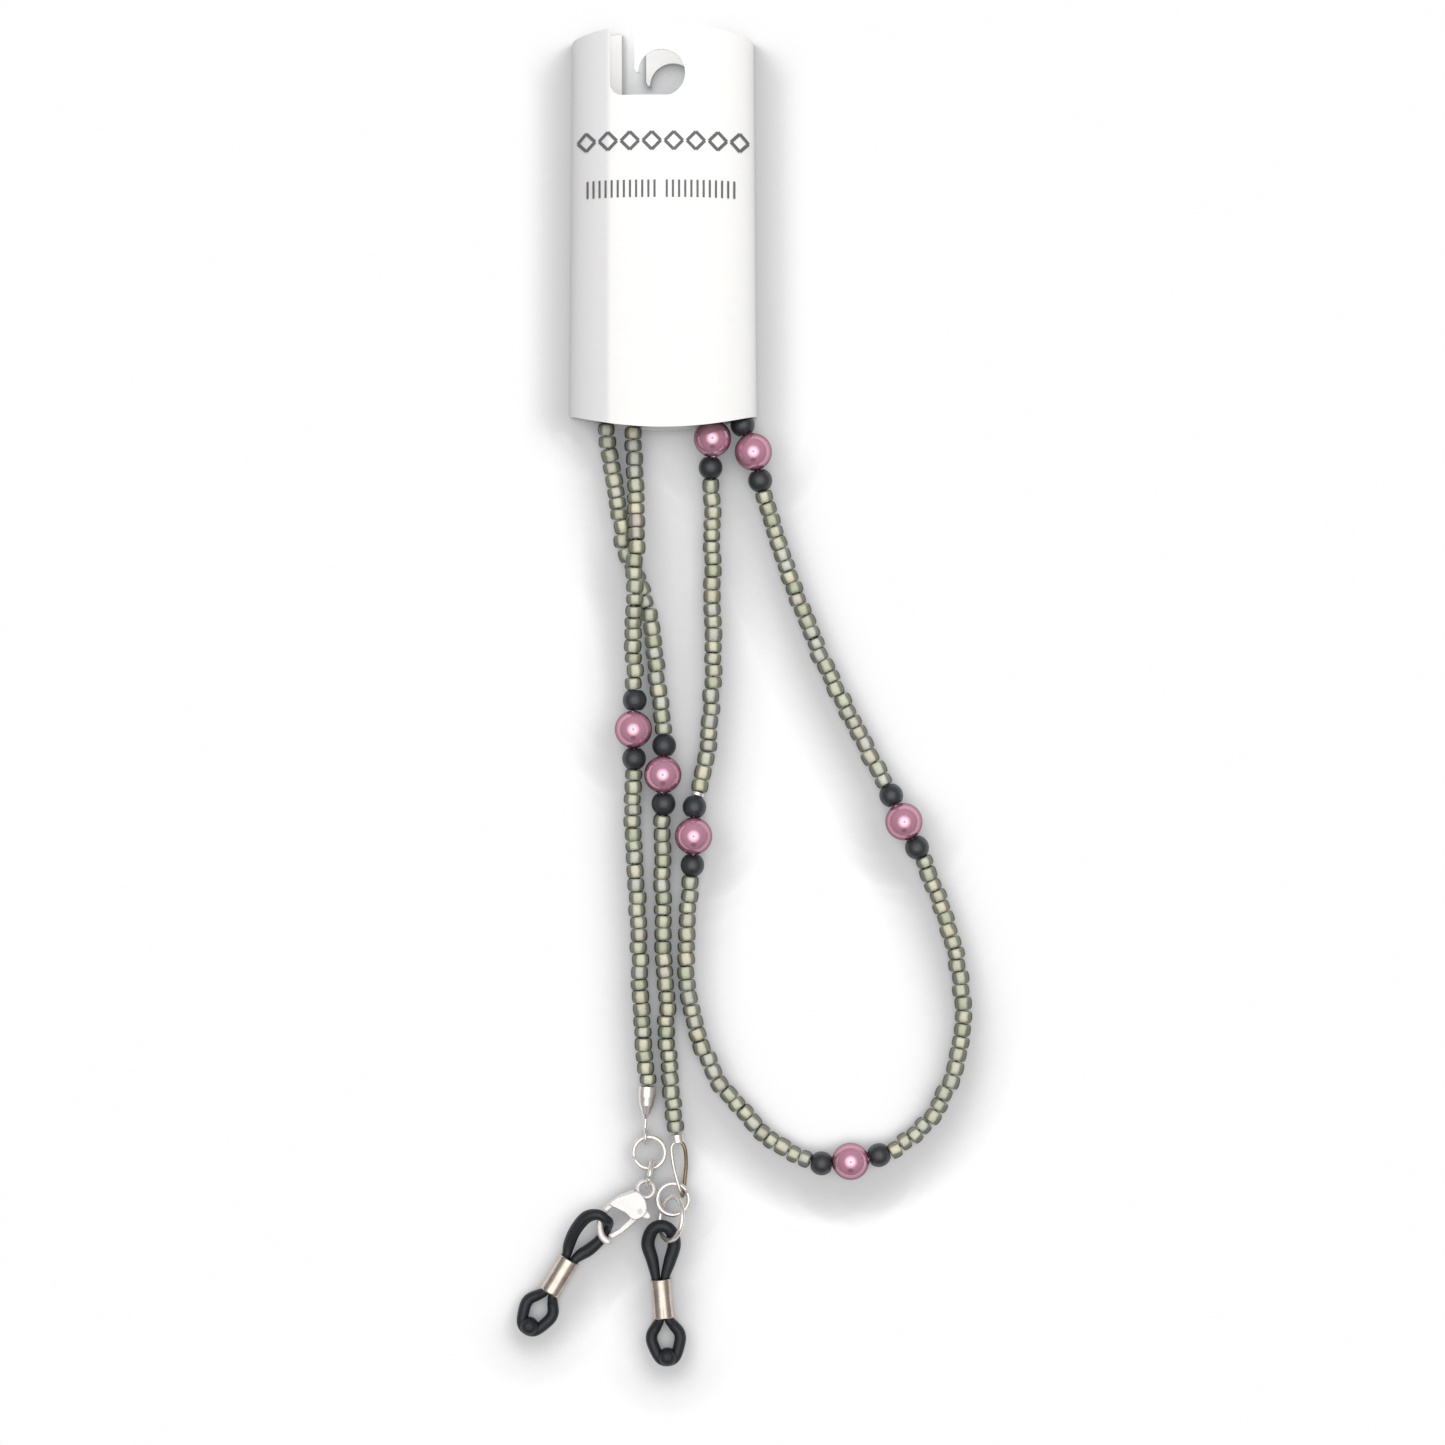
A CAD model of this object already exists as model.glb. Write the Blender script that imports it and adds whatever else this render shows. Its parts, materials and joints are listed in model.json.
"""Looks for the beaded eyeglass retainer strap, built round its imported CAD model."""
import json
import math
import random

import bmesh
import bpy
import numpy as np
from mathutils import Matrix, Vector


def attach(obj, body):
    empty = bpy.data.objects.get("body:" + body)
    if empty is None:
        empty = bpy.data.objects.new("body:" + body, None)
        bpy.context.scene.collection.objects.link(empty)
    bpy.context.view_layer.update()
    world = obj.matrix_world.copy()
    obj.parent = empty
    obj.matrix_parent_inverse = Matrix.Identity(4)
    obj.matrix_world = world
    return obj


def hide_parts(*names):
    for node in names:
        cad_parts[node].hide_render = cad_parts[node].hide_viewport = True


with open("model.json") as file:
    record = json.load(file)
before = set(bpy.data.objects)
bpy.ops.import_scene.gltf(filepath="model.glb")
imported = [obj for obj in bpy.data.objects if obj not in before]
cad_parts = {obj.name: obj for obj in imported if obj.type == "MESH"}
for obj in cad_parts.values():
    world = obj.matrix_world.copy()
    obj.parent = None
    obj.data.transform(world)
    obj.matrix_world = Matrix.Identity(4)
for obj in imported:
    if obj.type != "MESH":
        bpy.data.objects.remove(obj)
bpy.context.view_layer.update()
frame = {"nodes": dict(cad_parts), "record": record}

MM = 0.001
NODES = frame["nodes"]
SAMPLES = 8              # curve samples between two route points
STRAP_RUNS = range(1, 11)
PEARL_NUMBERS = range(1, 10)

# -------- camera

CAMERA_HEIGHT = 0.7
CAMERA_XY = (-0.0038, -0.0042)
FRAME_WIDTH = 0.2312     # what the picture is wide at the surface, in metres


def make_camera():
    data = bpy.data.cameras.new("photo_camera")
    data.sensor_width = 36
    data.lens = data.sensor_width * CAMERA_HEIGHT / FRAME_WIDTH
    data.clip_start = 0.01
    data.clip_end = 20
    camera = bpy.data.objects.new("photo_camera", data)
    camera.location = (*CAMERA_XY, CAMERA_HEIGHT)
    bpy.context.scene.collection.objects.link(camera)
    bpy.context.scene.camera = camera


make_camera()

# -------- routes and curves

# The thread's route, stretch by stretch, as in part.scad: millimetres, turned into metres below.
ROUTES_MM = {
    1: [(-15.8, -62, 1.5), (-16.4, -54.5, 1.5), (-16.8, -47, 1.5), (-17.2, -39, 1.5),
        (-17.6, -30, 1.5), (-18.2, -21, 1.5), (-18.1, -14, 1.7), (-17.9, -9.8, 2.3), (-18, -5.3, 3)],
    2: [(-18, -5.3, 3), (-17.8, -0.8, 2.5), (-17.9, 5, 2.8), (-17.9, 10, 3.5), (-17.9, 15, 4.6),
        (-17.8, 19, 4.8), (-17.6, 24, 4.2), (-17.6, 29, 3.2), (-17.8, 34.5, 2.5), (-18, 40, 2.2),
        (-17.6, 47, 2.1), (-17.2, 54.8, 2.8), (-17.2, 59.5, 3.6)],
    3: [(-17.2, 59.5, 3.6), (-17.4, 64.2, 2.8), (-18, 69.5, 2.1), (-17.2, 75, 2.1),
        (-14.5, 78.6, 2.1), (-11.3, 79.6, 2.1), (-8.2, 78.2, 2.1), (-6, 74.5, 2.1), (-5.6, 69, 2.1),
        (-5.7, 62, 2.1), (-5.9, 54, 2.1), (-5.8, 46.5, 2.5), (-5.4, 41, 3.6)],
    4: [(-5.4, 41, 3.6), (-5.7, 36.4, 2.6), (-5.5, 30.5, 1.6), (-5.4, 21, 1.5), (-5.2, 11, 1.5),
        (-5.4, 1, 1.5), (-6.2, -8, 1.5), (-7.4, -14, 1.7), (-8.3, -17.8, 2.3), (-8.4, -22.3, 3)],
    5: [(-8.4, -22.3, 3), (-8.6, -26.9, 2.3), (-9.3, -32, 1.5), (-9.7, -38, 1.5),
        (-9.5, -44, 1.5), (-8.9, -49.5, 1.5), (-7.5, -54.5, 1.5), (-5.2, -60, 1.5),
        (-1.8, -65, 1.5), (2.8, -69.8, 1.5), (7.6, -73, 1.7), (12, -74.5, 2.3), (16.6, -74.1, 3)],
    6: [(16.6, -74.1, 3), (21.1, -73.2, 2.3), (25.6, -71, 1.6), (29.4, -67.4, 1.5),
        (32.1, -62.5, 1.5), (33.9, -57, 1.5), (34.6, -51, 1.5), (34.2, -45, 1.5),
        (32.9, -39, 1.5), (31, -33, 1.5), (29, -28, 1.7), (27.2, -24.1, 2.3), (25.1, -20, 3)],
    7: [(25.1, -20, 3), (23.1, -15.8, 2.3), (20.4, -10.4, 1.6), (16.5, -3, 1.5),
        (12.3, 5.6, 1.5), (8.7, 14, 1.5), (5.9, 22.5, 1.5), (3.6, 29.5, 1.7), (2.2, 34.4, 2.4),
        (1.1, 38.9, 3.1)],
    8: [(1.1, 38.9, 3.1), (-0.6, 43.2, 2.6), (-1.9, 48.5, 2.2), (-2.1, 54, 2.5),
        (-2.6, 59.5, 3.6), (-4.6, 64.6, 5), (-8, 68.2, 5.5), (-12.4, 69.4, 5.6),
        (-16.6, 68.4, 5.5), (-20.2, 65, 4.8), (-21.9, 60, 3.7), (-22, 54.5, 3.1),
        (-21.9, 49.8, 3.6)],
    9: [(-21.9, 49.8, 3.6), (-22.4, 45.2, 2.8), (-22.3, 40, 2), (-21.4, 35.5, 1.6),
        (-20.4, 30, 1.5), (-19.5, 24, 1.5), (-17.4, 18.8, 1.5), (-15.7, 14, 1.5), (-15, 8.5, 1.5),
        (-14.2, 2.5, 1.5), (-13.4, -3.5, 1.7), (-13.1, -8, 2.3), (-13.3, -12.5, 3)],
    10: [(-13.3, -12.5, 3), (-13.2, -17, 2.3), (-13.5, -22, 1.6), (-13.4, -30, 1.5),
         (-13.4, -40, 1.5), (-12.8, -48, 1.5), (-12.7, -56, 1.5), (-11.9, -63, 1.5),
         (-11.2, -69.6, 1.5)],
}
LEFT_CRIMP_END = (-15.8, -64, 1.5)
RIGHT_CRIMP_END = (-11, -70.8, 1.5)
PEARL_ROOM = 3.02 * MM


def metres(points):
    return [Vector(p[:3]) * MM for p in points]


def blend_points(a, b, c, d, t):
    return 0.5 * (2 * b + (c - a) * t + (2 * a - 5 * b + 4 * c - d) * t * t
                  + (3 * b - a - 3 * c + d) * t ** 3)


def smooth_line(points, steps=SAMPLES):
    """A Catmull-Rom line through open points."""
    last = len(points) - 1
    line = []
    for i in range(last):
        around = (points[max(i - 1, 0)], points[i], points[i + 1], points[min(i + 2, last)])
        line += [blend_points(*around, k / steps) for k in range(steps)]
    return line + [points[last]]


def smooth_ring(points, steps):
    """A Catmull-Rom line through closed points."""
    n = len(points)
    return [blend_points(*(points[(i + j) % n] for j in (-1, 0, 1, 2)), k / steps)
            for i in range(n) for k in range(steps)]


def lengths_along(line):
    found = [0.0]
    for a, b in zip(line, line[1:]):
        found.append(found[-1] + (b - a).length)
    return found


def point_at(line, lengths, s):
    """The point at a distance along a line."""
    s = min(max(s, 0), lengths[-1])
    i = min(max(int(np.searchsorted(lengths, s)) - 1, 0), len(line) - 2)
    span = lengths[i + 1] - lengths[i]
    return line[i].lerp(line[i + 1], (s - lengths[i]) / span if span else 0)


def trimmed(line, off_start, off_end):
    """A line less a length off each of its ends, in steps of about a millimetre."""
    lengths = lengths_along(line)
    kept = lengths[-1] - off_end - off_start
    n = max(2, round(kept / MM))
    return [point_at(line, lengths, off_start + kept * k / n) for k in range(n + 1)]


LINES = {run: smooth_line(metres(points)) for run, points in ROUTES_MM.items()}


def joined(*runs):
    line = list(LINES[runs[0]])
    for run in runs[1:]:
        line += LINES[run][1:]
    return line


# -------- threads

THREAD_D = 0.5 * MM


def make_cord(name, line, depth):
    """A mesh tube along a line; a curve's own box would be padded by its points' radius."""
    data = bpy.data.curves.new(name, "CURVE")
    data.dimensions = "3D"
    data.bevel_depth = depth
    data.bevel_resolution = 3
    data.use_fill_caps = True
    spline = data.splines.new("POLY")
    spline.points.add(len(line) - 1)
    for point, place in zip(spline.points, line):
        point.co = (*place, 1)
    curve = bpy.data.objects.new(name + "_line", data)
    bpy.context.scene.collection.objects.link(curve)
    depsgraph = bpy.context.evaluated_depsgraph_get()
    mesh = bpy.data.meshes.new_from_object(curve.evaluated_get(depsgraph))
    bpy.data.objects.remove(curve)
    obj = bpy.data.objects.new(name, mesh)
    bpy.context.scene.collection.objects.link(obj)
    return obj


# Each thread's line, the lengths off its start and its end, its body, and what its far end is in.
THREADS = {
    "thread_left_tail": ([Vector(LEFT_CRIMP_END) * MM] + joined(1), 0, PEARL_ROOM,
                         "left_tail", "fitting"),
    "thread_left_strand": (joined(2, 3, 4), 0, 0, "strand", "object"),
    "thread_bottom_loop": (joined(5, 6), PEARL_ROOM, PEARL_ROOM, "bottom_loop", "object"),
    "thread_right_strand": (joined(7, 8, 9), 0, 0, "strand", "object"),
    "thread_right_tail": (joined(10) + [Vector(RIGHT_CRIMP_END) * MM], PEARL_ROOM, 0,
                          "right_tail", "fitting"),
}
thread_pieces = []
for node, (line, off_start, off_end, body, far_end) in THREADS.items():
    line = trimmed(line, off_start, off_end)
    if node == "thread_left_tail":
        line.reverse()
    piece = make_cord(node + "_cord", line, THREAD_D / 2)
    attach(piece, body)
    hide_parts(node)
    thread_pieces.append(piece)

# -------- material helpers


class Nodes:
    """A small hand for building node trees."""

    def __init__(self, name, tree=None):
        if tree is None:
            self.material = bpy.data.materials.new(name)
            self.material.use_nodes = True
            tree = self.material.node_tree
        self.tree = tree
        self.shader = tree.nodes.get("Principled BSDF")

    def add(self, kind, inputs=None, **settings):
        node = self.tree.nodes.new(kind)
        for key, value in settings.items():
            setattr(node, key, value)
        for key, value in (inputs or {}).items():
            self.set(node.inputs[key], value)
        return node

    def set(self, socket, value):
        if isinstance(value, bpy.types.NodeSocket):
            self.tree.links.new(value, socket)
        else:
            socket.default_value = value

    def principled(self, **inputs):
        for key, value in inputs.items():
            self.set(self.shader.inputs[key.replace("_", " ")], value)

    def noise(self, scale, detail=3.0, roughness=0.5):
        node = self.add("ShaderNodeTexNoise", {"Vector": self.position(), "Scale": scale,
                                               "Detail": detail, "Roughness": roughness})
        return node.outputs["Fac"]

    def position(self):
        coordinates = self.tree.nodes.get("Coordinates")
        if coordinates is None:
            coordinates = self.add("ShaderNodeTexCoord")
            coordinates.name = "Coordinates"
        return coordinates.outputs["Object"]

    def leftwards(self, scale):
        """The distance to the left of the middle, scaled to suit a ramp, which goes from 0 to 1."""
        x = self.add("ShaderNodeSeparateXYZ", {"Vector": self.position()}).outputs["X"]
        return self.maths("MULTIPLY", x, -scale)

    def ramp(self, fac, stops, mode="LINEAR"):
        node = self.add("ShaderNodeValToRGB", {"Fac": fac})
        node.color_ramp.interpolation = mode
        elements = node.color_ramp.elements
        while len(elements) < len(stops):
            elements.new(0.5)
        for element, (place, colour) in zip(elements, stops):
            element.position = place
            element.color = (*colour, 1)
        return node.outputs["Color"]

    def mask(self, fac, low, high, first=0.0, last=1.0):
        """A grey that eases from first to last while fac goes from low to high."""
        return self.ramp(fac, [(low, (first,) * 3), (high, (last,) * 3)], "EASE")

    def mix(self, fac, a, b, blend="MIX"):
        """Two colours mixed. The node's colour sockets share their names, so they go by place."""
        node = self.add("ShaderNodeMix", data_type="RGBA", blend_type=blend)
        for place, value in ((0, fac), (6, a), (7, b)):
            self.set(node.inputs[place], (*value, 1) if isinstance(value, tuple) else value)
        return node.outputs[2]

    def maths(self, operation, a, b=0.0):
        node = self.add("ShaderNodeMath", operation=operation)
        self.set(node.inputs[0], a)
        self.set(node.inputs[1], b)
        return node.outputs[0]

    def vectors(self, operation, a, b=None, output="Vector"):
        node = self.add("ShaderNodeVectorMath", {0: a}, operation=operation)
        if b is not None:
            self.set(node.inputs["Scale" if operation == "SCALE" else 1], b)
        return node.outputs[output]

    def spread(self, fac, low, high):
        """fac, from 0 to 1, spread from low to high."""
        node = self.add("ShaderNodeMapRange", {"Value": fac, "To Min": low, "To Max": high})
        return node.outputs["Result"]

    def bump(self, height, strength, distance):
        node = self.add("ShaderNodeBump", {"Height": height, "Strength": strength, "Distance": distance})
        self.set(self.shader.inputs["Normal"], node.outputs["Normal"])


# -------- materials

DARK_GLASS = (0.036, 0.042, 0.025)
LIP_GLASS = (0.33, 0.335, 0.235)


def glass_material():
    """Colour-lined glass: the lining shows as a bright bar along the thread, and the sides run dark."""
    n = Nodes("seed_glass")
    tint = n.add("ShaderNodeAttribute", attribute_name="tint").outputs["Color"]
    lining = n.add("ShaderNodeAttribute", attribute_name="lining").outputs["Color"]
    string = n.add("ShaderNodeAttribute", attribute_name="string").outputs["Vector"]
    string = n.add("ShaderNodeVectorTransform", {"Vector": string}, vector_type="VECTOR",
                   convert_from="OBJECT", convert_to="WORLD").outputs["Vector"]
    normal = n.add("ShaderNodeNewGeometry").outputs["Normal"]
    along = n.vectors("DOT_PRODUCT", normal, string, "Value")
    around = n.vectors("SUBTRACT", normal, n.vectors("SCALE", string, along))
    around = n.vectors("NORMALIZE", around)
    side = n.add("ShaderNodeLayerWeight", {"Blend": 0.5, "Normal": around}).outputs["Facing"]
    side = n.maths("ADD", side, n.spread(n.noise(700, 2), -0.09, 0.09))
    core = n.mask(side, 0.03, 0.19, 1.0, 0.0)
    rim = n.mask(side, 0.3, 0.6)
    lip = n.mask(n.maths("ABSOLUTE", along), 0.45, 0.9, 0.0, 0.85)
    flecks = n.mix(n.spread(n.noise(2600, 4, 0.7), 0, 0.5), lining, tint)
    colour = n.mix(lip, n.mix(core, tint, flecks), LIP_GLASS)
    colour = n.mix(rim, colour, DARK_GLASS)
    n.principled(Base_Color=colour, Roughness=0.1, IOR=1.5,
                 Transmission_Weight=n.spread(core, 0.25, 0.0))
    return n.material


def lining_material():
    """The wall of a bead's bore."""
    n = Nodes("seed_lining")
    tint = n.add("ShaderNodeAttribute", attribute_name="lining").outputs["Color"]
    flecks = n.noise(2600, 4, 0.7)
    colour = n.mix(n.spread(flecks, 0, 0.5), tint, (0.42, 0.38, 0.27))
    n.principled(Base_Color=colour, Roughness=0.5)
    return n.material


def spacer_material():
    n = Nodes("black_glass")
    cloud = n.noise(700, 4, 0.6)
    colour = n.mix(cloud, (0.010, 0.0125, 0.0155), (0.026, 0.031, 0.036))
    n.principled(Base_Color=colour, Roughness=n.spread(n.noise(1500, 3), 0.3, 0.46),
                 Specular_IOR_Level=0.75)
    n.bump(n.noise(5200, 3), 0.35, 0.00004)
    return n.material


def pearl_material():
    n = Nodes("pearl_pink")
    cloud = n.noise(420, 4, 0.6)
    edge = n.add("ShaderNodeLayerWeight", {"Blend": 0.5}).outputs["Facing"]
    skin = n.mix(cloud, (0.60, 0.28, 0.38), (0.68, 0.34, 0.45))
    rim = n.mask(edge, 0.3, 0.82)
    glow = n.mask(edge, 0.0, 0.07, 1.0, 0.0)
    colour = n.mix(rim, n.mix(glow, skin, (0.76, 0.50, 0.59)), (0.16, 0.02, 0.04))
    n.principled(Base_Color=colour, Metallic=0.55, Roughness=n.spread(n.noise(900, 3), 0.07, 0.11),
                 Specular_IOR_Level=0.3, Coat_Weight=0.2, Coat_Roughness=0.05)
    n.bump(n.noise(2600, 2), 0.06, 0.00003)
    return n.material


def plated_material(name, colour, dark, roughness, relief=0.1, metallic=1.0):
    n = Nodes(name)
    wear = n.ramp(n.noise(650, 4, 0.65), [(0.35, (0, 0, 0)), (0.75, (1, 1, 1))])
    n.principled(Base_Color=n.mix(wear, colour, dark), Metallic=metallic,
                 Roughness=n.spread(n.noise(1700, 3), roughness * 0.7, roughness * 1.4))
    n.bump(n.noise(3000, 2), relief, 0.00003)
    return n.material


def worn_wire_material():
    """Plated bright on the wire's left leg, worn down to dark gold on its right one."""
    n = Nodes("wire_gold")
    place = n.maths("ADD", n.leftwards(50.0), n.spread(n.noise(900, 3), -0.03, 0.03))
    plating = n.mask(place, 0.505, 0.545)
    gold = n.mix(n.noise(1500, 3), (0.16, 0.11, 0.06), (0.42, 0.32, 0.17))
    n.principled(Base_Color=n.mix(plating, gold, (0.84, 0.79, 0.73)), Metallic=0.9,
                 Roughness=n.spread(n.noise(1700, 3), 0.2, 0.34))
    n.bump(n.noise(3000, 2), 0.1, 0.00003)
    return n.material


def rubber_material():
    n = Nodes("loop_rubber")
    cloud = n.noise(500, 4, 0.6)
    colour = n.mix(cloud, (0.005, 0.0065, 0.009), (0.012, 0.014, 0.019))
    n.principled(Base_Color=colour, Roughness=n.spread(n.noise(1300, 3), 0.38, 0.54),
                 Specular_IOR_Level=0.5)
    n.bump(n.noise(4200, 3), 0.3, 0.00004)
    return n.material


def thread_material():
    n = Nodes("thread_nylon")
    twist = n.add("ShaderNodeTexWave", {"Vector": n.position(), "Scale": 900.0, "Distortion": 1.5,
                                        "Detail": 2.0}, bands_direction="DIAGONAL").outputs["Fac"]
    n.principled(Base_Color=n.mix(twist, (0.20, 0.20, 0.17), (0.42, 0.41, 0.36)), Roughness=0.55)
    n.bump(twist, 0.4, 0.00005)
    return n.material


def card_material():
    """White card stock, greyer on the facet left of the crease."""
    n = Nodes("card_stock")
    fibre = n.noise(1400, 5, 0.7)
    facet = n.mask(n.leftwards(25.0), 0.532, 0.56)
    stock = n.mix(fibre, (0.84, 0.835, 0.82), (0.9, 0.895, 0.88))
    grey_stock = n.mix(fibre, (0.70, 0.69, 0.695), (0.75, 0.74, 0.745))
    n.principled(Base_Color=n.mix(facet, stock, grey_stock),
                 Roughness=n.spread(n.noise(220, 3), 0.42, 0.6), Specular_IOR_Level=0.35)
    n.bump(fibre, 0.12, 0.00004)
    return n.material


def ink_material():
    n = Nodes("print_ink")
    speckle = n.noise(2600, 4, 0.7)
    n.principled(Base_Color=n.mix(speckle, (0.085, 0.085, 0.09), (0.17, 0.17, 0.175)),
                 Roughness=0.6)
    return n.material


GLASS = glass_material()
LINING = lining_material()
SPACER = spacer_material()
PEARL = pearl_material()
SILVER = plated_material("silver_plate", (0.92, 0.88, 0.84), (0.74, 0.68, 0.62), 0.24, 0.03, 0.82)
CAST = plated_material("cast_silver", (0.80, 0.76, 0.74), (0.72, 0.67, 0.65), 0.34, 0.03, 0.5)
GILT = worn_wire_material()
NICKEL = plated_material("sleeve_metal", (0.70, 0.61, 0.53), (0.50, 0.42, 0.36), 0.24)
STEEL = plated_material("inner_steel", (0.50, 0.50, 0.48), (0.36, 0.35, 0.33), 0.32)
RUBBER = rubber_material()
THREAD = thread_material()
CARD = card_material()
INK = ink_material()

for piece in thread_pieces:
    piece.data.materials.append(THREAD)

# -------- mesh helpers


def add_mesh(name, verts, faces, materials, face_material=None, smooth=True):
    data = bpy.data.meshes.new(name)
    data.from_pydata([tuple(v) for v in verts], [], faces)
    for material in materials:
        data.materials.append(material)
    if face_material is not None:
        data.polygons.foreach_set("material_index", face_material)
    data.polygons.foreach_set("use_smooth", [smooth] * len(data.polygons))
    data.update()
    obj = bpy.data.objects.new(name, data)
    bpy.context.scene.collection.objects.link(obj)
    return obj


def finish_piece(obj, body, slot, *nodes):
    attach(obj, body)
    if nodes:
        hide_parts(*nodes)
    return obj


def frame_along(direction):
    """Two directions square to this one and each other."""
    direction = direction.normalized()
    up = Vector((0, 0, 1)) if abs(direction.z) < 0.95 else Vector((0, 1, 0))
    side = up.cross(direction).normalized()
    return side, direction.cross(side)


def lathe(profile, centre, axis, segments, wobble=None):
    """Verts and faces of a closed (radius, height) profile turned about an axis."""
    side, up = frame_along(axis)
    axis = axis.normalized()
    verts, faces = [], []
    rows = len(profile)
    for k in range(segments):
        angle = 2 * math.pi * k / segments
        out = math.cos(angle) * side + math.sin(angle) * up
        stretch = wobble(angle) if wobble else 1
        verts += [centre + out * (r * stretch) + axis * z for r, z in profile]
    for k in range(segments):
        a, b = k * rows, (k + 1) % segments * rows
        for i in range(rows):
            j = (i + 1) % rows
            faces.append((a + i, b + i, b + j, a + j))
    return verts, faces


def joined_rings(rings, sides, closed=False):
    """Faces that join rings of vertices, one after the other, with both ends capped unless closed."""
    faces = []
    for i in range(rings if closed else rings - 1):
        a, b = i * sides, (i + 1) % rings * sides
        for k in range(sides):
            j = (k + 1) % sides
            faces.append((a + k, a + j, b + j, b + k))
    if not closed:
        faces.append(tuple(range(sides - 1, -1, -1)))
        faces.append(tuple(range((rings - 1) * sides, rings * sides)))
    return faces


def tube(line, radii, sides, closed=False):
    """Verts and faces of a tube along a line."""
    n = len(line)
    verts = []
    for i, (centre, radius) in enumerate(zip(line, radii)):
        before = line[(i - 1) % n] if closed else line[max(i - 1, 0)]
        after = line[(i + 1) % n] if closed else line[min(i + 1, n - 1)]
        side, up = frame_along(after - before)
        for k in range(sides):
            angle = 2 * math.pi * k / sides
            verts.append(centre + radius * (math.cos(angle) * side + math.sin(angle) * up))
    return verts, joined_rings(n, sides, closed)


class Batch:
    """Gathers several shapes into one mesh. A seed bead's tints are its glass, lining and direction."""

    def __init__(self):
        self.verts, self.faces, self.material, self.tints = [], [], [], []

    def add(self, shape, material=0, tint=None):
        verts, faces = shape
        start = len(self.verts)
        self.verts += verts
        self.faces += [tuple(start + i for i in face) for face in faces]
        self.material += material if isinstance(material, list) else [material] * len(faces)
        self.tints += [tint] * len(verts)

    def build(self, name, materials):
        obj = add_mesh(name, self.verts, self.faces, materials, self.material)
        if self.tints and self.tints[0] is not None:
            for place, key in enumerate(("tint", "lining")):
                layer = obj.data.color_attributes.new(key, "FLOAT_COLOR", "POINT")
                flat = [c for tint in self.tints for c in (*tint[place], 1)]
                layer.data.foreach_set("color", flat)
            layer = obj.data.attributes.new("string", "FLOAT_VECTOR", "POINT")
            layer.data.foreach_set("vector", [c for tint in self.tints for c in tint[2]])
        return obj


def loose_solids(node):
    """The separate solids of a CAD node: each one's vertices, and its faces' normals scaled by area."""
    mesh = NODES[node].data
    co = np.empty(len(mesh.vertices) * 3)
    mesh.vertices.foreach_get("co", co)
    co = co.reshape(-1, 3)
    _, same = np.unique(np.round(co, 6), axis=0, return_inverse=True)
    same = same.ravel()
    parent = list(range(int(same.max()) + 1))

    def root(i):
        while parent[i] != i:
            parent[i] = parent[parent[i]]
            i = parent[i]
        return i

    for polygon in mesh.polygons:
        first, *rest = (root(int(same[v])) for v in polygon.vertices)
        for other in rest:
            parent[root(other)] = root(first)
    roots = np.array([root(int(i)) for i in same])
    normals = {int(r): [] for r in np.unique(roots)}
    for polygon in mesh.polygons:
        normals[int(roots[polygon.vertices[0]])].append(np.array(polygon.normal) * polygon.area)
    return [(co[roots == r], np.array(normals[int(r)])) for r in np.unique(roots)]


END_FACE = 0.97          # how squarely a face looks along the thread if it is a bead's end


def bead_pose(solid, run):
    """Centre, axis, half length and radius of a bead, from its mesh and the line it is strung on."""
    points, normals = solid
    line = LINES[run]
    centre = (points.min(0) + points.max(0)) / 2
    nearest = min(range(len(line)), key=lambda i: (line[i] - Vector(centre)).length)
    way = np.array((line[min(nearest + 1, len(line) - 1)] - line[max(nearest - 1, 0)]).normalized())
    facing = normals @ way / np.maximum(np.linalg.norm(normals, axis=1), 1e-15)
    ends = normals[facing > END_FACE].sum(0) - normals[facing < -END_FACE].sum(0)
    way = ends / np.linalg.norm(ends)
    along = (points - centre) @ way
    off = points - centre - along[:, None] * way
    radius = float(np.linalg.norm(off, axis=1).max())
    return Vector(centre), Vector(way), (along.max() - along.min()) / 2, radius


# -------- seed beads

BORE_R = 0.45 * MM
BORE_RIM = 1.12          # faces within this share of the bore's radius belong to its wall
SEED_SEGMENTS, SEED_STEPS = 28, 18
SEED_DRAWS, SPACER_DRAWS = 100, 300      # where the runs' random seeds start
LEAN = 0.1               # how far a bead leans, as a share of its length
SHIFT = 0.16 * MM        # how far it sits off its place in the CAD, to the side
TINTS = [      # (glass, lining, how common)
    ((0.255, 0.26, 0.185), (0.64, 0.63, 0.49), 6),
    ((0.235, 0.25, 0.18), (0.59, 0.60, 0.47), 5),
    ((0.235, 0.245, 0.205), (0.59, 0.595, 0.51), 4),
    ((0.27, 0.26, 0.18), (0.67, 0.64, 0.48), 2),
    ((0.21, 0.235, 0.155), (0.51, 0.53, 0.38), 2),
    ((0.245, 0.225, 0.185), (0.58, 0.55, 0.46), 1),
]


def squared(share, fullness):
    """A cosine or sine, bent so that a round outline fills the box round it more."""
    return math.copysign(abs(share) ** (2 / fullness), share)


def seed_profile(radius, half, fullness):
    """Closed section of a seed bead, (radius, height): the bore's wall first, then round the outside."""
    middle, reach = (radius + BORE_R) / 2, (radius - BORE_R) / 2
    turns = [math.pi * (1 + 2 * k / SEED_STEPS) for k in range(SEED_STEPS)]
    return [(middle + reach * squared(math.cos(t), fullness), half * squared(math.sin(t), fullness))
            for t in turns]


def seed_bead(centre, way, half, radius, rng):
    fullness = rng.uniform(2.25, 2.75)
    oval, turn = rng.uniform(0, 0.02), rng.uniform(0, math.pi)
    profile = seed_profile(radius, half, fullness)
    verts, faces = lathe(profile, centre, way, SEED_SEGMENTS,
                         lambda a: 1 - oval * (1 + math.cos(2 * (a + turn))) / 2)
    ahead = profile[1:] + profile[:1]
    lined = [int(max(a[0], b[0]) < BORE_R * BORE_RIM) for a, b in zip(profile, ahead)]
    return (verts, faces), lined * SEED_SEGMENTS


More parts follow.
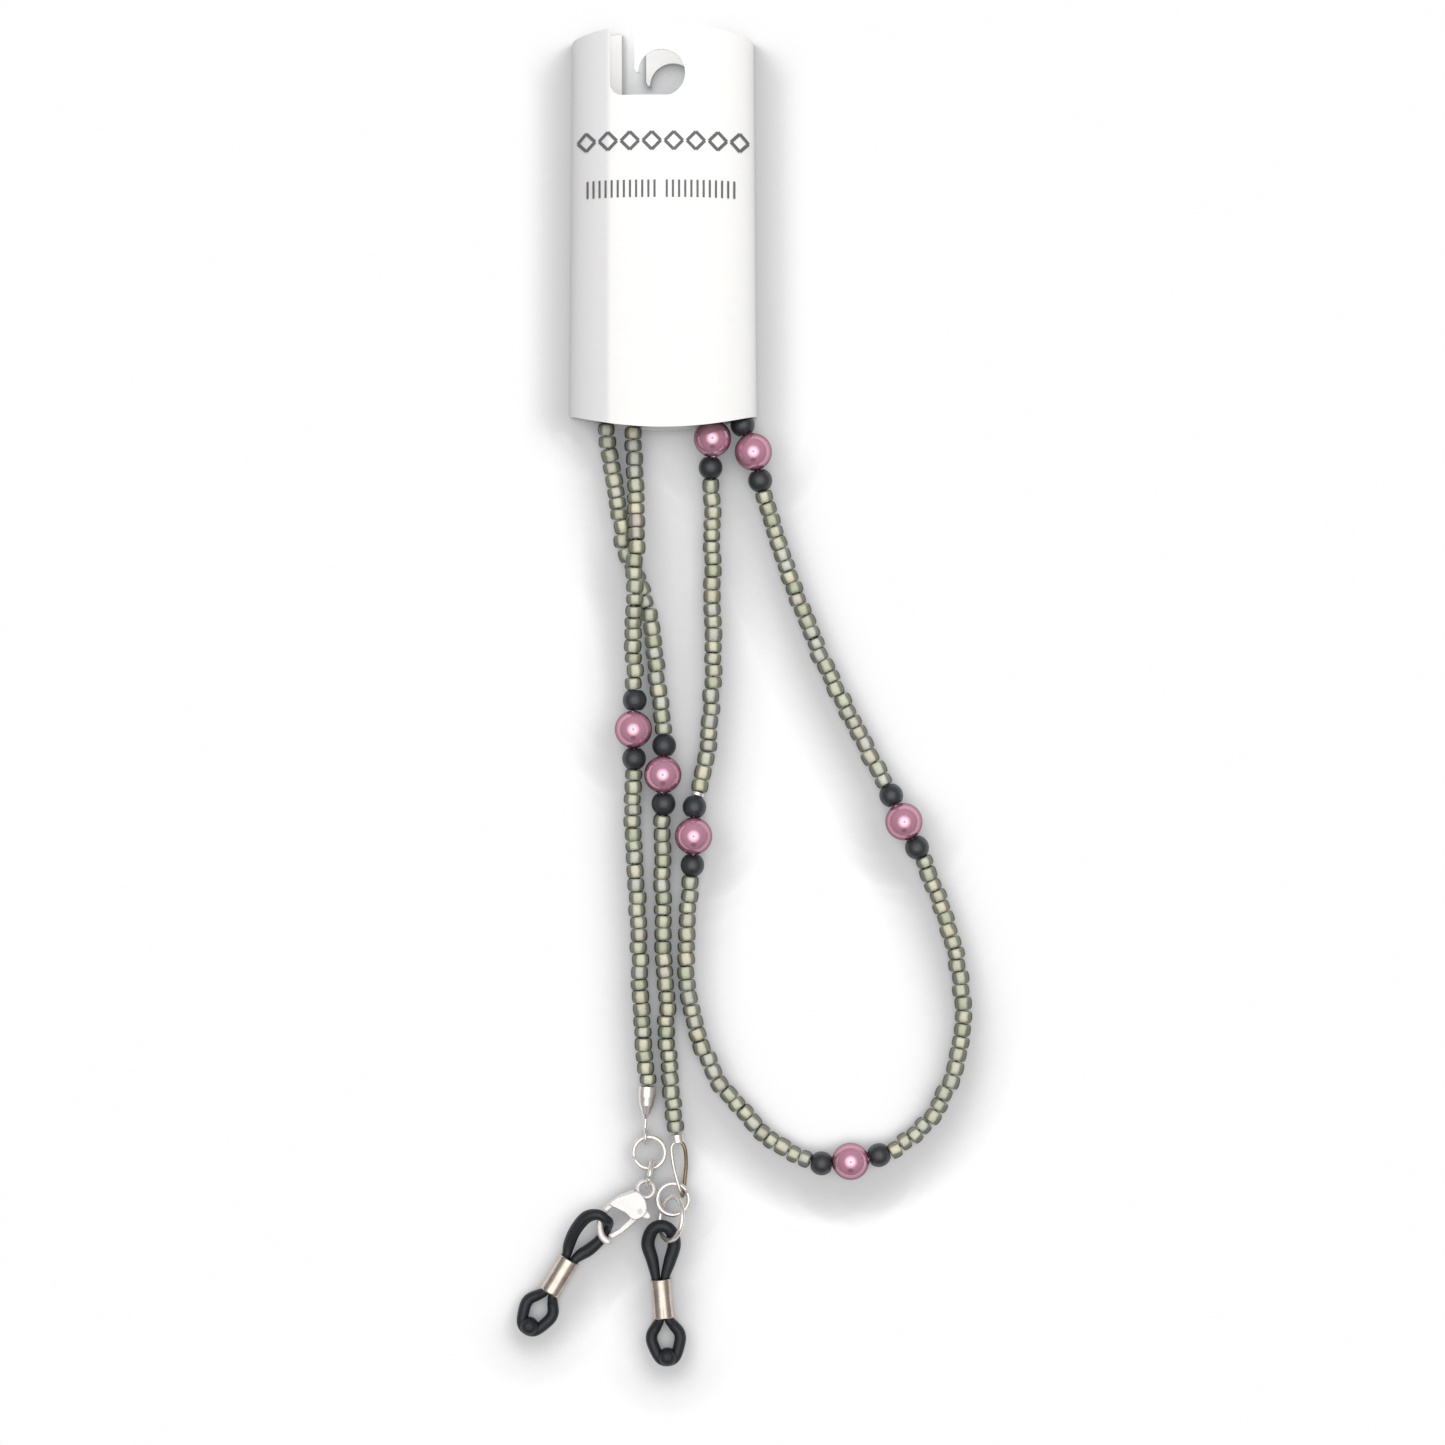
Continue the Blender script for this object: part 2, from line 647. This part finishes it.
def pick_tint(rng):
    glass, lining, _ = rng.choices(TINTS, [t[2] for t in TINTS])[0]
    light = rng.uniform(0.95, 1.15)
    return tuple(c * rng.uniform(0.95, 1.03) for c in glass), tuple(c * light for c in lining)


def body_of_node(node):
    return next(body for body, nodes in frame["record"]["behaviour"]["bodies"].items() if node in nodes)


def make_seed_run(run):
    node = f"seed_run_{run}"
    rng = random.Random(SEED_DRAWS + run)
    batch = Batch()
    for solid in loose_solids(node):
        centre, way, half, radius = bead_pose(solid, run)
        side, up = frame_along(way)
        leaning = (way + side * rng.uniform(-LEAN, LEAN) + up * rng.uniform(-LEAN, LEAN)).normalized()
        centre = centre + side * rng.uniform(-SHIFT, SHIFT)
        shape, material = seed_bead(centre, leaning, half, radius, rng)
        batch.add(shape, material, (*pick_tint(rng), tuple(leaning)))
    obj = batch.build(node + "_beads", [GLASS, LINING])
    finish_piece(obj, body_of_node(node), "seed_glass", node)


for run in STRAP_RUNS:
    make_seed_run(run)

# -------- spacers and pearls


def round_profile(radius, half, steps, lip):
    """Closed section of a drilled ball: the bore's wall, a small rounded lip and the ball's own curve."""
    start = max(math.asin(min(1, (BORE_R + lip) / radius)) + 0.02, math.acos(min(1, half / radius)))
    edge = [(BORE_R + lip * 0.25, half - lip * 0.6), (BORE_R + lip * 0.8, half - lip * 0.1)]
    turns = [start + (math.pi - 2 * start) * k / steps for k in range(steps + 1)]
    return ([(BORE_R, -half + lip * 1.6), (BORE_R, half - lip * 1.6), *edge]
            + [(radius * math.sin(t), radius * math.cos(t)) for t in turns]
            + [(r, -z) for r, z in reversed(edge)])


def make_spacers(run):
    node = f"spacers_{run}"
    rng = random.Random(SPACER_DRAWS + run)
    batch = Batch()
    for solid in loose_solids(node):
        centre, way, half, radius = bead_pose(solid, run)
        turn = rng.uniform(0, 6)
        batch.add(lathe(round_profile(radius, half, 22, 0.14 * MM), centre, way, 40,
                        lambda a: 1 - 0.012 * (1 + math.sin(2 * a + turn)) - 0.006 * math.sin(5 * a)))
    obj = batch.build(node + "_beads", [SPACER])
    finish_piece(obj, body_of_node(node), "black_glass", node)


def make_pearl(number):
    node = f"pearl_{number}"
    (solid,) = loose_solids(node)
    centre, way, half, radius = bead_pose(solid, number)
    verts, faces = lathe(round_profile(radius, half, 40, 0.16 * MM), centre, way, 64)
    obj = add_mesh(node + "_bead", verts, faces, [PEARL])
    finish_piece(obj, body_of_node(node), "pearl_pink", node)


for run in STRAP_RUNS:
    make_spacers(run)
for number in PEARL_NUMBERS:
    make_pearl(number)

# -------- card

# All in millimetres, as in part.scad.
CARD_W, CARD_TAPER, CARD_LEN = 30, 0.965, 59.5
CARD_BULGE, CARD_T, CARD_FULL = 9.6, 0.45, 2.4
CARD_X, CARD_CORNER_Y, CARD_ARCH = -13.3, 44.6, 2.1
HOLE_AT, HOLE_R = (-13.4, 98.4), 3.7
SLOT_X, SLOT_W, CUT_Y = -21.6, 3.9, 94.9
SLOT_CORNER = 2.0        # radius of the slot's lower left corner
TONGUE_UP = 3.4          # how far above the cut the tongue between slot and hole starts
BACK_SHIFT = (1.7, -0.9)
FOLD_EASE = 0.12         # how far the two folds are eased
CARD_ROWS, FRONT_STEPS, BACK_STEPS, ARC_STEPS = 30, 96, 24, 48
SPARE = 1.0              # how far the sleeve runs past the blank that trims it
CLEAR_LOW, CLEAR_HIGH, CLEAR_Y = -2, 14, 112     # cuts end here, clear of the card
CARD_SHARP, METAL_SHARP = 24, 40         # edges sharper than this many degrees stay sharp


def card_share(y):
    """The card's width at a place along it, as a share of its lower edge's width."""
    low = CARD_CORNER_Y - CARD_ARCH
    t = (y - low) / (CARD_LEN + 2 * CARD_ARCH)
    return 1 + (CARD_TAPER - 1) * t


def front_height(x, y):
    """Height of the bulging front panel over a point."""
    across = min(1, abs(x - CARD_X) / (CARD_W / 2 * card_share(y)))
    return CARD_T / 2 + (CARD_BULGE - CARD_T / 2) * (1 - across ** CARD_FULL) ** (1 / CARD_FULL)


def card_loop(y, inset):
    """Outline of the card's cross-section at one place, going round from the right fold."""
    half = (CARD_W / 2 - inset) * card_share(y)
    rise = CARD_BULGE - 2 * inset
    points = []
    for k in range(FRONT_STEPS + 1):
        t = math.pi * k / FRONT_STEPS
        lift = rise * squared(math.sin(t), CARD_FULL) if 0 < k < FRONT_STEPS else FOLD_EASE
        points.append((CARD_X + half * squared(math.cos(t), CARD_FULL), inset + lift))
    for k in range(BACK_STEPS + 1):
        share = -1 + 2 * k / BACK_STEPS
        points.append((CARD_X + share * (half - FOLD_EASE), inset))
    return points


def card_body():
    """The folded sleeve before its ends and its hang hole are cut."""
    low, high = CARD_CORNER_Y - CARD_ARCH - SPARE, CARD_CORNER_Y + CARD_LEN + CARD_ARCH + SPARE
    rows = [low + (high - low) * i / CARD_ROWS for i in range(CARD_ROWS + 1)]
    # Rings up the outside, then down the inside, so that joining them in turn closes the wall.
    rings = [(y, 0) for y in rows] + [(y, CARD_T) for y in reversed(rows)]
    loops = [[Vector((x, y, z)) * MM for x, z in card_loop(y, inset)] for y, inset in rings]
    n = len(loops[0])
    faces = []
    for i in range(len(loops)):
        a, b = i * n, (i + 1) % len(loops) * n
        faces += [(a + k, a + (k + 1) % n, b + (k + 1) % n, b + k) for k in range(n)]
    return add_mesh("card_body", [p for loop in loops for p in loop], faces, [CARD])


def prism(name, outline, low, high):
    """A closed prism over an outline in millimetres."""
    n = len(outline)
    verts = [Vector((x, y, z)) * MM for z in (low, high) for x, y in outline]
    faces = [tuple(range(n - 1, -1, -1)), tuple(range(n, 2 * n))]
    faces += [(k, (k + 1) % n, n + (k + 1) % n, n + k) for k in range(n)]
    return add_mesh(name, verts, faces, [CARD], smooth=False)


def card_blank():
    """The sleeve's die-cut outline seen from above: two long arcs for its ends."""
    half = CARD_W / 2
    radius = (half * half + CARD_ARCH * CARD_ARCH) / (2 * CARD_ARCH)
    low = CARD_CORNER_Y - CARD_ARCH
    high = low + CARD_LEN + 2 * CARD_ARCH
    spread = math.asin((half + 1.5 * SPARE) / radius)
    turns = [spread * (1 - 2 * k / ARC_STEPS) for k in range(ARC_STEPS + 1)]
    upper = [(CARD_X + radius * math.sin(t), high - radius + radius * math.cos(t)) for t in turns]
    lower = [(CARD_X - radius * math.sin(t), low + radius - radius * math.cos(t)) for t in turns]
    return (upper + lower)[::-1]


def hang_outline(shift):
    """Outline of the hang hole with its side slot, open at the card's upper edge, and shifted."""
    slot_right, tongue_y = SLOT_X + SLOT_W, CUT_Y + TONGUE_UP
    points = [(slot_right, CLEAR_Y), (SLOT_X, CLEAR_Y), (SLOT_X, CUT_Y + SLOT_CORNER)]
    points += [(SLOT_X + SLOT_CORNER * (1 - math.cos(a)), CUT_Y + SLOT_CORNER * (1 - math.sin(a)))
               for a in (math.pi / 2 * k / 10 for k in range(1, 11))]
    hx, hy = HOLE_AT
    start = math.acos((hy - CUT_Y) / HOLE_R) - math.pi / 2
    stop = math.pi - math.asin((tongue_y - hy) / HOLE_R)
    points += [(hx + HOLE_R * math.cos(a), hy + HOLE_R * math.sin(a))
               for a in (start + (stop - start) * k / 40 for k in range(41))]
    points += [(slot_right + a, tongue_y + b) for a, b in ((0.9, 0), (0.25, 0.25), (0, 0.9))]
    return [(x + shift[0], y + shift[1]) for x, y in points]


def face_outwards(obj):
    bm = bmesh.new()
    bm.from_mesh(obj.data)
    bmesh.ops.recalc_face_normals(bm, faces=bm.faces)
    bm.to_mesh(obj.data)
    bm.free()


def cut(obj, cutter, operation="DIFFERENCE"):
    face_outwards(cutter)
    modifier = obj.modifiers.new("cut", "BOOLEAN")
    modifier.operation = operation
    modifier.solver = "MANIFOLD"
    modifier.object = cutter
    depsgraph = bpy.context.evaluated_depsgraph_get()
    mesh = bpy.data.meshes.new_from_object(obj.evaluated_get(depsgraph))
    obj.modifiers.clear()
    obj.data = mesh
    bpy.data.objects.remove(cutter)


def smooth_by_angle(obj, degrees):
    """Smooth shading, broken at edges sharper than this."""
    mesh = obj.data
    bm = bmesh.new()
    bm.from_mesh(mesh)
    bmesh.ops.remove_doubles(bm, verts=bm.verts, dist=1e-7)
    for face in bm.faces:
        face.smooth = True
    for edge in bm.edges:
        edge.smooth = len(edge.link_faces) == 2 and edge.calc_face_angle(0) < math.radians(degrees)
    bm.to_mesh(mesh)
    bm.free()


def make_card():
    card = card_body()
    face_outwards(card)
    cut(card, prism("blank", card_blank(), CLEAR_LOW, CLEAR_HIGH), "INTERSECT")
    split = CARD_BULGE / 3
    cut(card, prism("front_cut", hang_outline((0, 0)), split, CLEAR_HIGH))
    cut(card, prism("back_cut", hang_outline(BACK_SHIFT), CLEAR_LOW, split + 0.01))
    smooth_by_angle(card, CARD_SHARP)
    card.name = "hang_card_sleeve"
    finish_piece(card, "card", "card_stock", "hang_card")


make_card()

# Plain ornaments stand in for the card's print: a row of lozenges over a row of ticks.
LOZENGES = {"middle_y": 87.7, "first_x": -25.4, "pitch": 3.48, "count": 8, "half": 1.42, "stroke": 0.5}
TICKS = {"low": 78.75, "high": 81.5, "first_x": -25.2, "pitch": 0.97, "count": 25, "width": 0.34,
         "skip": 12}
PRINT_LIFT, STROKE_STEP = 0.03, 0.3


def on_panel(x, y):
    return Vector((x, y, front_height(x, y) + PRINT_LIFT)) * MM


def ink_stroke(batch, start, stop, width):
    """A thin stroke of ink from point to point that follows the front panel."""
    start, stop = Vector(start), Vector(stop)
    steps = max(2, round((stop - start).length / STROKE_STEP))
    side = Vector((start.y - stop.y, stop.x - start.x)).normalized() * width / 2
    verts = []
    for k in range(steps + 1):
        middle = start.lerp(stop, k / steps)
        verts += [on_panel(*(middle - side)), on_panel(*(middle + side))]
    faces = [(2 * k, 2 * k + 1, 2 * k + 3, 2 * k + 2) for k in range(steps)]
    batch.add((verts, faces))


def make_print():
    batch = Batch()
    y, half = LOZENGES["middle_y"], LOZENGES["half"]
    for k in range(LOZENGES["count"]):
        x = LOZENGES["first_x"] + k * LOZENGES["pitch"]
        corners = [(x - half, y), (x, y + half), (x + half, y), (x, y - half)]
        for a, b in zip(corners, corners[1:] + corners[:1]):
            ink_stroke(batch, a, b, LOZENGES["stroke"])
    for k in range(TICKS["count"]):
        if k != TICKS["skip"]:
            x = TICKS["first_x"] + k * TICKS["pitch"]
            ink_stroke(batch, (x, TICKS["low"]), (x, TICKS["high"]), TICKS["width"])
    obj = batch.build("card_print", [INK])
    finish_piece(obj, "card", "card_stock")


make_print()

# -------- metal fittings


def placed(matrix, shape):
    verts, faces = shape
    return [matrix @ v for v in verts], faces


def place(at, *turns):
    """A matrix that turns about Z, Y or X in the order given, then moves, in millimetres."""
    matrix = Matrix.Translation(Vector(at) * MM)
    for axis, degrees in turns:
        matrix = matrix @ Matrix.Rotation(math.radians(degrees), 4, axis)
    return matrix


RING_WIRE, RING_GAP = 0.82, 5    # millimetres, and degrees of the ring that its cut takes
RING_STEPS = 72
CUT_EASE = {0: 0.86, 1: 0.96}    # how the wire narrows at its cut ends


def open_ring(radius, cut_turn):
    """A jump ring in the plane z = 0, with its cut, in millimetres."""
    start, stop = math.radians(cut_turn + RING_GAP / 2), math.radians(cut_turn + 360 - RING_GAP / 2)
    turns = [start + (stop - start) * k / RING_STEPS for k in range(RING_STEPS + 1)]
    line = [Vector((math.cos(t), math.sin(t), 0)) * radius * MM for t in turns]
    radii = [RING_WIRE / 2 * MM * CUT_EASE.get(min(k, RING_STEPS - k), 1) for k in range(RING_STEPS + 1)]
    return tube(line, radii, 16)


def one_piece(name, shapes, material, body, slot, *nodes):
    batch = Batch()
    for shape in shapes:
        batch.add(shape)
    obj = batch.build(name, [material])
    return finish_piece(obj, body, slot, *nodes)


# Each ring's place, radius, where its cut is and its body.
RINGS = {
    "left_jump_ring": (place((-15.5, -72.85, 1.7)), 2.5, 200, "left_ring"),
    "left_link_ring": (place((-15.4, -76.15, 2.52), ("Z", 80), ("X", 90)), 2.1, 100, "left_link"),
    "right_jump_ring": (place((-11.7, -80.3, 1.55)), 2.5, 30, "right_ring"),
    "right_link_ring": (place((-12, -83.2, 3.49), ("Z", -10), ("Y", -60)), 3.5, 170, "right_link"),
}
for node, (matrix, radius, cut_turn, body) in RINGS.items():
    one_piece(node + "_wire", [placed(matrix, open_ring(radius, cut_turn))], SILVER, body,
              "silver_plate", node)

WIRE_LOOP = [(-11.9, -71.9, 1.5), (-11.7, -74.5, 1.7), (-11.1, -77, 2.2), (-10.5, -78.9, 2.2),
             (-10.2, -79.8, 1.5), (-10, -78.9, 0.8), (-9.8, -77, 0.7), (-9.6, -74.5, 1),
             (-9.9, -71.9, 1.5), (-10.9, -71.1, 1.5)]
WIRE_LOOP_R = 0.3 * MM
wire_line = smooth_ring(metres(WIRE_LOOP), 10)
one_piece("right_wire_loop_wire", [tube(wire_line, [WIRE_LOOP_R] * len(wire_line), 14, True)], GILT,
          "right_tail", "wire_gold", "right_wire_loop")

for material, nodes in ((SILVER, ("left_bead_tip", "left_crimp", "right_crimp", "silver_bead")),
                        (STEEL, ("clasp_rivet", "clasp_spring"))):
    for node in nodes:
        NODES[node].data.materials.clear()
        NODES[node].data.materials.append(material)

# -------- clasp

CLASP_AT, CLASP_TURN = (-16.05, -78.6, 2.6), 227
CLASP_PLACE = place(CLASP_AT, ("Z", CLASP_TURN))
CLASP_T, LEVER_T, LEVER_ROOM = 2.4, 0.9, 0.2
CHEEK_EDGE, LEVER_EDGE = 0.2, 0.28
EYE_R, EYE_WIRE_R, EYE_STEPS = 1.3, 0.4, 48
CURVE_STEPS, RIM_STEPS = 6, 4
BAR_FULL, BAR_SIDES = 2.6, 24


def smooth_outline(points):
    return [(p.x, p.y) for p in smooth_ring([Vector((x, y, 0)) for x, y in points], CURVE_STEPS)]


def rounded_plate(outline, thickness, edge):
    """A plate over an outline with its rims rounded, centred on z = 0, in millimetres."""
    n = len(outline)
    ways = [Vector(outline[(i + 1) % n]) - Vector(outline[i - 1]) for i in range(n)]
    inward = [Vector((-way.y, way.x)).normalized() for way in ways]
    turns = [math.pi / 2 * k / RIM_STEPS for k in range(RIM_STEPS + 1)]
    rim = [(edge * (1 - math.sin(t)), edge * (1 - math.cos(t)) - thickness / 2) for t in turns]
    rim += [(inset, -z) for inset, z in reversed(rim)]
    verts = [Vector((x + w.x * inset, y + w.y * inset, z)) * MM
             for inset, z in rim for (x, y), w in zip(outline, inward)]
    return verts, joined_rings(len(rim), n)


CLASP_BASE = smooth_outline([(1.1, -0.8), (2.3, -1.6), (4.3, -2.6), (5.6, -2.6), (5.3, -1.2),
                             (4.9, 0.2), (4.9, 1.5), (4.3, 2.3), (3.1, 2.6), (2, 2.2), (1.1, 0.8)])
# Bars of the clasp along their middles: (x, y, half width, half thickness).
CLASP_SPINE = [(1.5, -0.9, 0.5, 0.9), (2.6, -1.35, 0.62, 1.1), (3.8, -1.75, 0.72, 1.14),
               (4.9, -2.0, 0.62, 1.05), (5.5, -2.1, 0.5, 0.85)]
CLASP_HOOK = [(4.3, -1.9, 0.5, 0.56), (5.6, -2.25, 0.55, 0.6), (7.0, -2.38, 0.55, 0.6),
              (8.35, -2.05, 0.55, 0.6), (9.5, -1.15, 0.56, 0.6), (10.2, -0.1, 0.57, 0.6),
              (10.3, 0.9, 0.56, 0.58), (10.15, 1.5, 0.48, 0.5), (10.02, 1.85, 0.22, 0.28)]
CLASP_LEVER = smooth_outline([(2.3, 1.1), (3.1, 0.9), (5, 1.2), (7.4, 1.1), (9.2, 0.6), (9.45, 1.1),
                              (9.2, 1.6), (7.4, 2.1), (5, 2.4), (3.9, 2.6), (3.2, 3.6), (2.5, 3.5),
                              (2.3, 2.4)])


def bar(points):
    """A solid bar in the plane z = 0 with a rounded section, in millimetres."""
    path = smooth_line([Vector(point) for point in points], CURVE_STEPS)
    verts = []
    for i, (x, y, half_width, half_height) in enumerate(path):
        ahead = path[min(i + 1, len(path) - 1)] - path[max(i - 1, 0)]
        across = Vector((-ahead[1], ahead[0], 0)).normalized()
        for k in range(BAR_SIDES):
            t = 2 * math.pi * k / BAR_SIDES
            out = across * (squared(math.cos(t), BAR_FULL) * half_width)
            verts.append((Vector((x, y, squared(math.sin(t), BAR_FULL) * half_height)) + out) * MM)
    return verts, joined_rings(len(path), BAR_SIDES)


def make_clasp():
    cheek_t = (CLASP_T - LEVER_T - LEVER_ROOM) / 2
    cheek_z = (CLASP_T - cheek_t) / 2 * MM
    cheek = rounded_plate(CLASP_BASE, cheek_t, CHEEK_EDGE)
    shapes = [placed(Matrix.Translation((0, 0, z)), cheek) for z in (-cheek_z, cheek_z)]
    shapes += [bar(CLASP_SPINE), bar(CLASP_HOOK)]
    eye = [Vector((EYE_R * math.cos(t), EYE_R * math.sin(t), 0)) * MM
           for t in (2 * math.pi * k / EYE_STEPS for k in range(EYE_STEPS))]
    shapes.append(tube(eye, [EYE_WIRE_R * MM] * EYE_STEPS, 16, True))
    cast = one_piece("clasp_body_cast", [placed(CLASP_PLACE, s) for s in shapes], CAST, "clasp",
                     "silver_plate", "clasp_body")
    lever_shape = placed(CLASP_PLACE, rounded_plate(CLASP_LEVER, LEVER_T, LEVER_EDGE))
    lever = one_piece("clasp_lever_cast", [lever_shape], CAST, "lever", "silver_plate", "clasp_lever")
    for piece in (cast, lever):
        face_outwards(piece)
        smooth_by_angle(piece, METAL_SHARP)


make_clasp()

# -------- rubber loops and sleeves

RUBBER_D, BALL_D = 1.9, 3.0
BALL_Y, BALL_LIFT, BALL_STEPS = -9.4, 0.02, 24
SLEEVE_D, SLEEVE_LEN = 3.5, 6.2
LEG_X, LEG_SHARE = 0.76, 0.78
LEFT_SLEEVE, LEFT_TURN = (-29.8, -92.5, 1.78), -31
RIGHT_SLEEVE, RIGHT_TURN = (-13.4, -96.1, 1.78), 5
# The rubber above each sleeve: (x, y, z, thickness as a share of the cord's).
LEFT_TOP = [(-28.25, -87.4, 1.9, 1), (-27.25, -85.1, 2.8, 1.04), (-25.5, -82.95, 3.8, 1.08),
            (-23.6, -82.45, 4.4, 0.9), (-22.3, -83.3, 4.05, 0.83), (-21.93, -83.93, 2.6, 0.83),
            (-22.2, -84.8, 1.3, 0.83), (-22.75, -86.1, 0.95, 0.88), (-23.85, -87.35, 1.03, 0.96),
            (-25.2, -88.45, 1.25, 1.06), (-26.4, -89.15, 1.5, 1)]
RIGHT_TOP = [(-15, -90, 1.75, 1.05), (-15.7, -87.4, 1.8, 1.15), (-15, -85.2, 2.3, 1.1),
             (-13.5, -84.4, 2.7, 1.02), (-12, -85.3, 2.5, 1.05), (-11.5, -87.5, 1.9, 1.12),
             (-12.2, -90.1, 1.75, 1.05)]


def lower_loop():
    """The rubber from one leg in the sleeve round to the other, as seen from the sleeve's middle."""
    right = [(LEG_X, 3.4, 0, LEG_SHARE), (LEG_X, 2, 0, LEG_SHARE), (LEG_X, -2, 0, LEG_SHARE),
             (LEG_X, -3.4, 0, LEG_SHARE), (1.4, -4.5, -0.5, 0.92), (2.2, -5.8, -0.75, 0.97),
             (2.15, -7.3, -0.75, 0.98), (1, BALL_Y - 0.4, -0.8, 0.95)]
    return right + [(-x, y, z, share) for x, y, z, share in reversed(right)]


def turned(p, degrees, at):
    c, s = math.cos(math.radians(degrees)), math.sin(math.radians(degrees))
    return (at[0] + p[0] * c - p[1] * s, at[1] + p[0] * s + p[1] * c, at[2] + p[2], p[3])


def ball(centre, radius):
    turns = [math.pi * k / BALL_STEPS for k in range(BALL_STEPS + 1)]
    profile = [(max(1e-7, radius * math.sin(t)), radius * math.cos(t)) for t in turns]
    return lathe(profile, centre, Vector((0, 0, 1)), 40)


def make_temple_loop(side, top, at, degrees):
    node = side + "_temple_loop"
    path = smooth_ring([Vector(p) for p in top + [turned(p, degrees, at) for p in lower_loop()]], 10)
    line = [p.to_3d() * MM for p in path]
    radii = [p[3] * RUBBER_D / 2 * MM for p in path]
    centre = turned((0, BALL_Y, 0, 1), degrees, at)
    middle = Vector((centre[0], centre[1], BALL_D / 2 + BALL_LIFT)) * MM
    one_piece(node + "_cord", [tube(line, radii, 24, True), ball(middle, BALL_D / 2 * MM)], RUBBER,
              side + "_loop", "loop_rubber", node)


make_temple_loop("left", LEFT_TOP, LEFT_SLEEVE, LEFT_TURN)
make_temple_loop("right", RIGHT_TOP, RIGHT_SLEEVE, RIGHT_TURN)


def make_sleeve(side, at, degrees, waist):
    """A crimped metal tube, narrower by its waist in the middle, with rounded rims."""
    node = side + "_sleeve"
    half, outer = SLEEVE_LEN / 2, SLEEVE_D / 2
    bore = LEG_X + LEG_SHARE * RUBBER_D / 2 + 0.05
    rim = [(bore, half - 0.08), (bore + 0.05, half - 0.02), (outer - 0.06, half), (outer, half - 0.08)]
    waisted = [(outer - waist * math.sin(math.pi * k / 16), half - SLEEVE_LEN * k / 16)
               for k in range(1, 16)]
    section = rim + waisted + [(r, -z) for r, z in reversed(rim)]
    section = [(r * MM, z * MM) for r, z in section]
    axis = Vector((math.sin(math.radians(degrees)), -math.cos(math.radians(degrees)), 0))
    obj = one_piece(node + "_tube", [lathe(section, Vector(at) * MM, axis, 56)], NICKEL, node,
                    "sleeve_metal", node)
    smooth_by_angle(obj, METAL_SHARP)


make_sleeve("left", LEFT_SLEEVE, LEFT_TURN, 0.05)
make_sleeve("right", RIGHT_SLEEVE, RIGHT_TURN, 0.12)

# -------- stage and light

FLOOR_HALF = 3.0
SHADE_REACH = 0.0085
SHADE_LEAN = (0, 0.66, 0.75)     # the light comes from the card's end, so shade falls the other way
SHADE_STOPS = [(0.0, (0.4,) * 3), (0.5, (0.56,) * 3), (0.76, (0.61,) * 3), (0.87, (0.72,) * 3),
               (0.93, (0.87,) * 3), (0.965, (0.96,) * 3), (0.99, (1.0,) * 3)]
ENCLOSED_STOPS = [(0.2, (0.4, 0.41, 0.42)), (0.45, (0.74, 0.74, 0.75)), (0.6, (1.0,) * 3)]


def make_stage():
    """A pale floor that gives off its own even light, less where the strap and card shade it."""
    corners = [(x * FLOOR_HALF, y * FLOOR_HALF, 0) for x, y in ((-1, -1), (1, -1), (1, 1), (-1, 1))]
    floor = add_mesh("floor", corners, [(0, 1, 2, 3)], [])
    n = Nodes("floor_paper")
    paper = n.mix(n.noise(60, 3), (0.995, 0.995, 0.995), (1.0, 1.0, 1.0))
    lean = n.add("ShaderNodeCombineXYZ", dict(zip("XYZ", SHADE_LEAN))).outputs["Vector"]
    contact = n.add("ShaderNodeAmbientOcclusion", {"Distance": SHADE_REACH, "Normal": lean}, samples=32)
    enclosed = n.add("ShaderNodeAmbientOcclusion", {"Distance": 2 * SHADE_REACH}, samples=12)
    shade = n.mix(1.0, n.ramp(contact.outputs["AO"], SHADE_STOPS),
                  n.ramp(enclosed.outputs["AO"], ENCLOSED_STOPS), "MULTIPLY")
    n.principled(Base_Color=(0, 0, 0, 1), Roughness=0.8, Specular_IOR_Level=0.0,
                 Emission_Color=n.mix(1.0, paper, shade, "MULTIPLY"), Emission_Strength=1.0)
    floor.data.materials.append(n.material)


KEY_AT, KEY_SIZE, KEY_POWER = (0.1, 0.75, 0.55), 0.6, 4.8
SKY_STRENGTH = 0.8
DARK_CARD_WAY = (0, -0.81, 0.586)      # a dark patch that every pearl mirrors below its highlight


def make_key():
    """A weak light from the card's end that nothing mirrors."""
    data = bpy.data.lights.new("key", "AREA")
    data.shape = "DISK"
    data.size = KEY_SIZE
    data.energy = KEY_POWER
    light = bpy.data.objects.new("key", data)
    light.location = KEY_AT
    light.rotation_euler = (-Vector(KEY_AT)).to_track_quat("-Z", "Y").to_euler()
    light.visible_glossy = False
    bpy.context.scene.collection.objects.link(light)


def make_sky():
    """A soft sky that is brightest overhead, as a big light round the lens would be."""
    world = bpy.data.worlds.new("studio")
    bpy.context.scene.world = world
    world.use_nodes = True
    n = Nodes("studio", world.node_tree)
    background = world.node_tree.nodes["Background"]
    direction = n.add("ShaderNodeTexCoord").outputs["Generated"]
    height = n.add("ShaderNodeSeparateXYZ", {"Vector": direction}).outputs["Z"]
    sky = n.ramp(height, [(0.0, (0.3, 0.3, 0.3)), (0.3, (0.4, 0.4, 0.405)), (0.72, (0.5, 0.5, 0.5)),
                          (0.93, (2.3, 2.3, 2.28)), (0.988, (3.0, 3.0, 2.98)), (0.996, (0.7, 0.7, 0.7))])
    patch = n.mask(n.vectors("DOT_PRODUCT", direction, DARK_CARD_WAY, "Value"), 0.95, 0.98)
    n.set(background.inputs["Color"], n.mix(patch, sky, (0.02, 0.015, 0.015)))
    background.inputs["Strength"].default_value = SKY_STRENGTH


def set_colours_and_bounces():
    scene = bpy.context.scene
    scene.view_settings.view_transform = "Standard"
    scene.view_settings.look = "None"
    scene.view_settings.exposure = 0
    scene.cycles.max_bounces = 14
    scene.cycles.transmission_bounces = 12
    scene.cycles.caustics_refractive = False
    scene.cycles.caustics_reflective = False


make_stage()
make_sky()
make_key()
set_colours_and_bounces()
